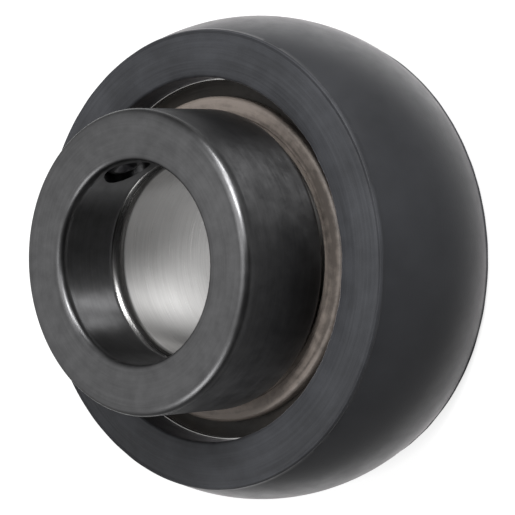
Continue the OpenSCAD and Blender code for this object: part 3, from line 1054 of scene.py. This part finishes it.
class BEARING_OT_inner_ring(bpy.types.Operator):
    """Builds the inner ring, with its bore and land ground and its eccentric cam turned"""

    bl_idname = "bearing.inner_ring"
    bl_label = "Inner ring"

    def execute(self, context):
        s = context.scene.bearing_sizes
        colours = context.scene.bearing_colours
        name = "ground_steel_with_painted_shade_on_roundings"
        # painted shade: the inner ring's roundings keep a third of the colour
        ground = ground_steel(colours.ring, name, roundings=0.33, roughness=0.27)
        cam_shoulder, cam_side = 4, 5  # corners of the section that these two start at
        ring_piece(
            "inner_race", inner_ring_section(s), [ground, turned_steel(colours.turned)], "inner",
            ["inner_ring"], second=(cam_shoulder, cam_side), offset=cam_axis(s),
        )
        return {"FINISHED"}


class BEARING_OT_collar(bpy.types.Operator):
    """Builds the locking collar, with its eccentric counterbore, its screw hole and drift hole"""

    bl_idname = "bearing.collar"
    bl_label = "Locking collar"

    def execute(self, context):
        s = context.scene.bearing_sizes
        section, stretch = outline(collar_section(s), s.step)
        grid = turned(section, s.facets, cam_axis(s))
        skin = Skin()
        numbers = skin.place(grid, edge=section[:, 3])
        keep = np.ones(numbers.shape, bool)
        wall = (skin, grid, numbers, keep)

        hole_r, lead = s.screw_radius * SCREW_HOLE_SHARE, s.screw_radius / 5
        deep = COLLAR_BORE_R + 0.5 * MM
        angle, rim = open_wall(*wall, COLLAR_R, SCREW_DIRECTION, hole_r + lead)
        radii = [hole_r + lead / 2, hole_r, hole_r, hole_r]
        depths = [lead / 2, lead, -(COLLAR_R + deep) / 2, -deep]
        end = tube(skin, angle, rim, radii, depths, SCREW_DIRECTION)
        _, rim = open_wall(*wall, COLLAR_BORE_R, SCREW_DIRECTION, hole_r)
        close_tube(skin, end, rim)

        lead = 0.25 * MM
        tip = COLLAR_BORE_R + s.drift_floor
        cone = DRIFT_R / 2
        shares = np.linspace(1, 0.1, 7)
        angle, rim = open_wall(*wall, COLLAR_R, DRIFT_DIRECTION, DRIFT_R + lead)
        radii = [DRIFT_R + lead / 2, DRIFT_R, DRIFT_R, *(DRIFT_R * shares)]
        depths = [lead / 2, lead, -(COLLAR_R + tip + cone) / 2, *-(tip + cone * shares)]
        end = tube(skin, angle, rim, radii, depths, DRIFT_DIRECTION)
        skin.fan(end, skin.place(hole_points(DRIFT_DIRECTION, tip, 0, 0)))

        front_face = 3  # corner of the section that this starts at
        skin.weave(numbers, keep, finish=stretch == front_face)
        colour = context.scene.bearing_colours.collar
        darker = [0.87 * part for part in colour]
        finishes = [
            black_oxide_steel(colour, "turned_black_oxide_steel", roughness=0.34, drawn_out=0.85),
            black_oxide_steel(darker, "faced_black_oxide_steel", roughness=0.52, drawn_out=0.2),
        ]
        piece("collar", skin, finishes, "collar", ["locking_collar"])
        return {"FINISHED"}


class BEARING_OT_set_screw(bpy.types.Operator):
    """Builds the set screw, with its thread, hexagon socket and cup point"""

    bl_idname = "bearing.set_screw"
    bl_label = "Set screw"

    def execute(self, context):
        s = context.scene.bearing_sizes
        edge, cup, flat = s.screw_radius / 6, s.screw_radius / 2, s.screw_key / 2
        top = s.screw_length
        floor = top - s.screw_key_depth
        drilled, socket_r = floor - 0.5 * MM, 1.22 * flat
        cup_rounding, lead_in, step = 0.12 * MM, 0.25 * MM, 0.07 * MM
        # The last value is how far a point belongs to the hexagon
        corners = [
            (HAIR, cup / 2),
            (cup, 0, cup_rounding),
            (s.screw_radius - 2 * edge, 0, SOFT_EDGE),
            (s.screw_radius, 2 * edge),
            (s.screw_radius, top - edge),
            (s.screw_radius - edge, top, BROKEN_EDGE),
            (socket_r, top),
            (flat, top - lead_in, 0, 0, 1),
            (flat, floor, 0, 0, 1),
            (HAIR, drilled),
        ]
        section, _ = outline(corners, step)
        # The outline's last side would run along the axis, where the two tips' fans close the skin
        section = section[: np.flatnonzero(section[:, 0] <= 1.01 * HAIR)[1] + 1]
        r, z, hexagon, worn = section.T
        angle = angles(SCREW_FACETS)[:, None]
        pitch = s.thread_pitch
        tooth = np.abs((z / pitch - angle / TURN) % 1 - 0.5) * 2
        slope = np.clip((tooth - THREAD_FLAT) / (1 - 2 * THREAD_FLAT), 0, 1)
        depth = THREAD_DEPTH * pitch * slope
        run_in = np.clip((z - 1.2 * edge) / pitch, 0, 1)
        run_out = np.clip((top - edge - z) / (pitch / 3), 0, 1)
        radius = r - depth * (run_in * run_out) * (r > s.screw_radius - 2 * edge)
        sixth = math.pi / 3
        radius = radius * (1 - hexagon + hexagon / np.cos((angle + sixth / 2) % sixth - sixth / 2))
        sideways, axial = radius * np.cos(angle), radius * np.sin(angle)
        skin = Skin()
        points = hole_points(SCREW_DIRECTION, z + s.screw_tip, sideways, axial)
        numbers = skin.place(points, edge=worn)
        skin.weave(numbers, closed=False)
        ends = np.array([cup / 2, drilled]) + s.screw_tip
        tips = skin.place(hole_points(SCREW_DIRECTION, ends, 0, 0))
        skin.fan(numbers[::-1, 0], tips[0])
        skin.fan(numbers[:, -1], tips[1])
        steel = screw_steel(context.scene.bearing_colours.screw)
        piece("lock_screw", skin, [steel], "screw", ["set_screw"])
        return {"FINISHED"}


class BEARING_OT_seals(bpy.types.Operator):
    """Builds the rubber seal and its steel cover plate on each side"""

    bl_idname = "bearing.seals"
    bl_label = "Seals"

    def execute(self, context):
        s = context.scene.bearing_sizes
        colours = context.scene.bearing_colours
        rubber, plate = seal_rubber(colours.seal), plate_steel(colours.plate)
        depth = 0.012 * MM
        for side, seed in (("front", 21), ("rear", 34)):
            turn_over = mirrored if side == "rear" else list

            def sag(angle, section, seed=seed):
                """The pressed plate is never quite flat: a low wave round the ring, on its top."""
                top = np.clip((np.abs(section[:, 1]) - PLATE_LOW) / (PLATE_TOP - PLATE_LOW), 0, 1)
                return top * (ripple(angle, seed, 2, 7) - 1) * depth

            ring_piece(
                f"{side}_shield", turn_over(plate_section(s)), [plate], "outer",
                [f"{side}_seal_plate"], sag,
            )
            ring_piece(
                f"{side}_lip_seal", turn_over(seal_section(s)), [rubber], "outer",
                [f"{side}_seal_rubber"],
            )
        return {"FINISHED"}


class BEARING_OT_rolling_set(bpy.types.Operator):
    """Finishes the balls, the riveted cage and its rivets, whose shapes stay the CAD model's"""

    bl_idname = "bearing.rolling_set"
    bl_label = "Balls and cage"

    def execute(self, context):
        colours = context.scene.bearing_colours
        kinds = (
            ("ball_", ball_steel(colours.ball)),
            ("cage_rivet_", rivet_steel(colours.rivet)),
            ("cage_", cage_steel(colours.cage)),
        )
        for name, item in frame["nodes"].items():
            found = next((material for start, material in kinds if name.startswith(start)), None)
            if found is not None:
                item.data.materials.clear()
                item.data.materials.append(found)
        return {"FINISHED"}


class BEARING_OT_stage(bpy.types.Operator):
    """Sets the floor, the background, the soft lamps and the camera"""

    bl_idname = "bearing.stage"
    bl_label = "Stage"

    def execute(self, context):
        stage = context.scene.bearing_stage
        lay_floor()
        light_background(context.scene, stage.sky)
        far = 420 * MM
        hang_lamp("top_softbox", stage.top_power, far, azimuth=60, elevation=80, width=240 * MM)
        hang_lamp("key_softbox", stage.key_power, far, azimuth=44, elevation=43, width=100 * MM)
        hang_lamp("low_softbox", stage.low_power, far, azimuth=60, elevation=20, width=100 * MM)
        far = 450 * MM
        hang_lamp("fill_softbox", stage.fill_power, far, azimuth=-100, elevation=42, width=200 * MM)
        set_camera(context.scene, stage)
        context.scene.view_settings.view_transform = "Standard"
        return {"FINISHED"}


def ray(kind):
    """1 for the rays of one kind, and 0 for all others."""
    return node("ShaderNodeLightPath", output=kind)


def seen(plain, in_gloss):
    """A glow of one strength for the camera's rays and through glass, and of another in a
    reflection. Other rays don't see it."""
    direct = reckon("MAXIMUM", ray("Is Camera Ray"), ray("Is Transmission Ray"))
    direct = reckon("MULTIPLY", direct, plain)
    return reckon("MULTIPLY_ADD", ray("Is Glossy Ray"), in_gloss, direct)


def disc(unit, middle, strength, reach):
    """A round patch on the floor, whose strength goes from the first value to the second as the
    distance from its middle goes from the first reach to the second. Places are in the unit."""
    away = distance_from(middle[0] * unit, middle[1] * unit)
    return spread(away, *strength, reach[0] * unit, reach[1] * unit)


def lay_floor():
    """A wide square under the cushion. It takes the lamps' light and shadow, and adds a glow for
    the rays that show the background, so that it is white where nothing shades it. The glow fades
    out under the bearing as a painted shadow, and the camera sees a painted glow on the paper under
    the bore. Gloss sees a brighter painted pool of light under the bore with a faint painted patch
    beside it, and sees the floor white only behind the bearing, with painted shade elsewhere. From below the floor
    is clear."""
    half = 2.0
    low = CAD_BOX[0][2] - 2 * HAIR
    corners = [(-half, -half, low), (half, -half, low), (half, half, low), (-half, half, low)]
    mesh = bpy.data.meshes.new("floor")
    mesh.from_pydata(corners, [], [(0, 1, 2, 3)])
    floor = in_scene("floor", mesh)
    # painted shadow: the glow fades out under the bearing
    glow_with_painted_shadow = disc(CROWN_TOP_R, middle=(0, 0), strength=(0, 0.93), reach=(0.6, 0.98))
    # painted light: a glow on the paper under the bore
    painted_light_under_bore = disc(BORE_R, middle=(0, 0), strength=(0.8, 0), reach=(0.85, 1.15))
    # painted reflection: a pool of light under the bore, seen only in gloss
    painted_pool = disc(BORE_R, middle=(-0.05, 0.55), strength=(1.6, 0), reach=(0.05, 1.1))
    # painted reflection: a faint patch of light beside that pool
    painted_patch = disc(BORE_R, middle=(-0.5, -0.7), strength=(0.4, 0), reach=(0.2, 1.6))
    # painted shade in reflections: gloss sees the floor white only far behind the bearing
    behind = disc(CROWN_TOP_R, middle=(-1, 0.2), strength=(1, 0.03), reach=(1.8, 2.2))
    in_gloss = reckon("MULTIPLY_ADD", painted_pool, painted_pool, added(glow_with_painted_shadow, painted_patch))
    in_gloss = reckon("MULTIPLY", in_gloss, behind)
    glow = node("ShaderNodeEmission", {"Strength": seen(added(glow_with_painted_shadow, painted_light_under_bore), in_gloss)})
    paper = node("ShaderNodeBsdfDiffuse", {"Color": (0.2, 0.2, 0.2, 1)})
    above = node("ShaderNodeAddShader", {0: paper, 1: glow})
    clear = node("ShaderNodeBsdfTransparent")
    below = node("ShaderNodeNewGeometry", output="Backfacing")
    material = bpy.data.materials.new("pale_paper_floor")
    both = node("ShaderNodeMixShader", {0: below, 1: above, 2: clear})
    shade(material, "ShaderNodeOutputMaterial", both)
    mesh.materials.append(material)


def light_background(scene, strength):
    """White where it is seen, and of a lower strength where it lights the object. Gloss sees it
    white behind the bearing and dim on the camera's side, where a studio isn't lit."""
    direction = node("ShaderNodeTexCoord", output="Generated")
    in_gloss = spread(facing(direction, (-1, 0, 1)), 0.03, 1, 0.3, 1.2)
    on_matt = reckon("MULTIPLY", ray("Is Diffuse Ray"), strength)
    share = reckon("MAXIMUM", seen(1, in_gloss), on_matt)
    scene.world = bpy.data.worlds.new("studio")
    shade(scene.world, "ShaderNodeOutputWorld", node("ShaderNodeBackground", {"Strength": share}))


def hang_lamp(name, power, distance, azimuth, elevation, width):
    """A square soft lamp that faces the bearing, at an azimuth from +X towards +Y."""
    lamp = bpy.data.lights.new(name, "AREA")
    lamp.shape, lamp.size, lamp.energy = "SQUARE", width, power
    a, e = math.radians(azimuth), math.radians(elevation)
    back = Vector((math.cos(a) * math.cos(e), math.sin(a) * math.cos(e), math.sin(e)))
    hung = in_scene(name, lamp)
    hung.location = Vector((0, 0, COLLAR_REAR)) + back * distance
    hung.rotation_euler = back.to_track_quat("Z", "Y").to_euler()


def set_camera(scene, stage):
    """The photograph's camera: it looks at the collar's front face from a tilt towards +X, aims a
    little lower in its own upright picture, and is then rolled about its line of sight."""
    lens = bpy.data.cameras.new("camera")
    lens.lens, lens.sensor_width = stage.lens, 36
    lens.clip_start, lens.clip_end = 10 * MM, 20
    back = Vector((math.sin(stage.tilt), 0, math.cos(stage.tilt)))
    right = (-back).cross(Vector((0, 0, 1))).normalized()
    up = back.cross(right)
    line = (stage.drop * -up - back).normalized()
    up = right.cross(line)
    upright = Matrix((right, up, -line)).transposed()
    camera = in_scene("camera", lens)
    camera.matrix_world = (upright @ Matrix.Rotation(stage.roll, 3, "Z")).to_4x4()
    camera.location = back * stage.distance + Vector((0, 0, COLLAR_FRONT))
    scene.camera = camera


class BEARING_PT_panel(bpy.types.Panel):
    """Lists the bearing's operators and values"""

    bl_idname = "BEARING_PT_panel"
    bl_label = "Cushioned insert bearing"
    bl_space_type = "VIEW_3D"
    bl_region_type = "UI"
    bl_category = "Bearing"

    def draw(self, context):
        for operator in OPERATORS:
            self.layout.operator(operator.bl_idname)
        for group, kind in GROUPS.items():
            box = self.layout.box()
            for name in kind.__annotations__:
                box.prop(getattr(context.scene, group), name)


OPERATORS = (
    BEARING_OT_cushion,
    BEARING_OT_outer_ring,
    BEARING_OT_inner_ring,
    BEARING_OT_collar,
    BEARING_OT_set_screw,
    BEARING_OT_seals,
    BEARING_OT_rolling_set,
    BEARING_OT_stage,
)
GROUPS = {
    "bearing_sizes": BearingSizes,
    "bearing_colours": BearingColours,
    "bearing_stage": BearingStage,
}
CLASSES = (*GROUPS.values(), *OPERATORS, BEARING_PT_panel)


def register():
    """Registers the classes, and hangs a group of each kind on the scene."""
    for cls in CLASSES:
        bpy.utils.register_class(cls)
    for name, kind in GROUPS.items():
        setattr(bpy.types.Scene, name, PointerProperty(type=kind))


def unregister():
    """Takes back all that register has done."""
    for name in GROUPS:
        delattr(bpy.types.Scene, name)
    for cls in reversed(CLASSES):
        bpy.utils.unregister_class(cls)


def main():
    """Runs every operator in order."""
    register()
    for operator in OPERATORS:
        group, name = operator.bl_idname.split(".")
        getattr(getattr(bpy.ops, group), name)()


if __name__ == "__main__":
    main()
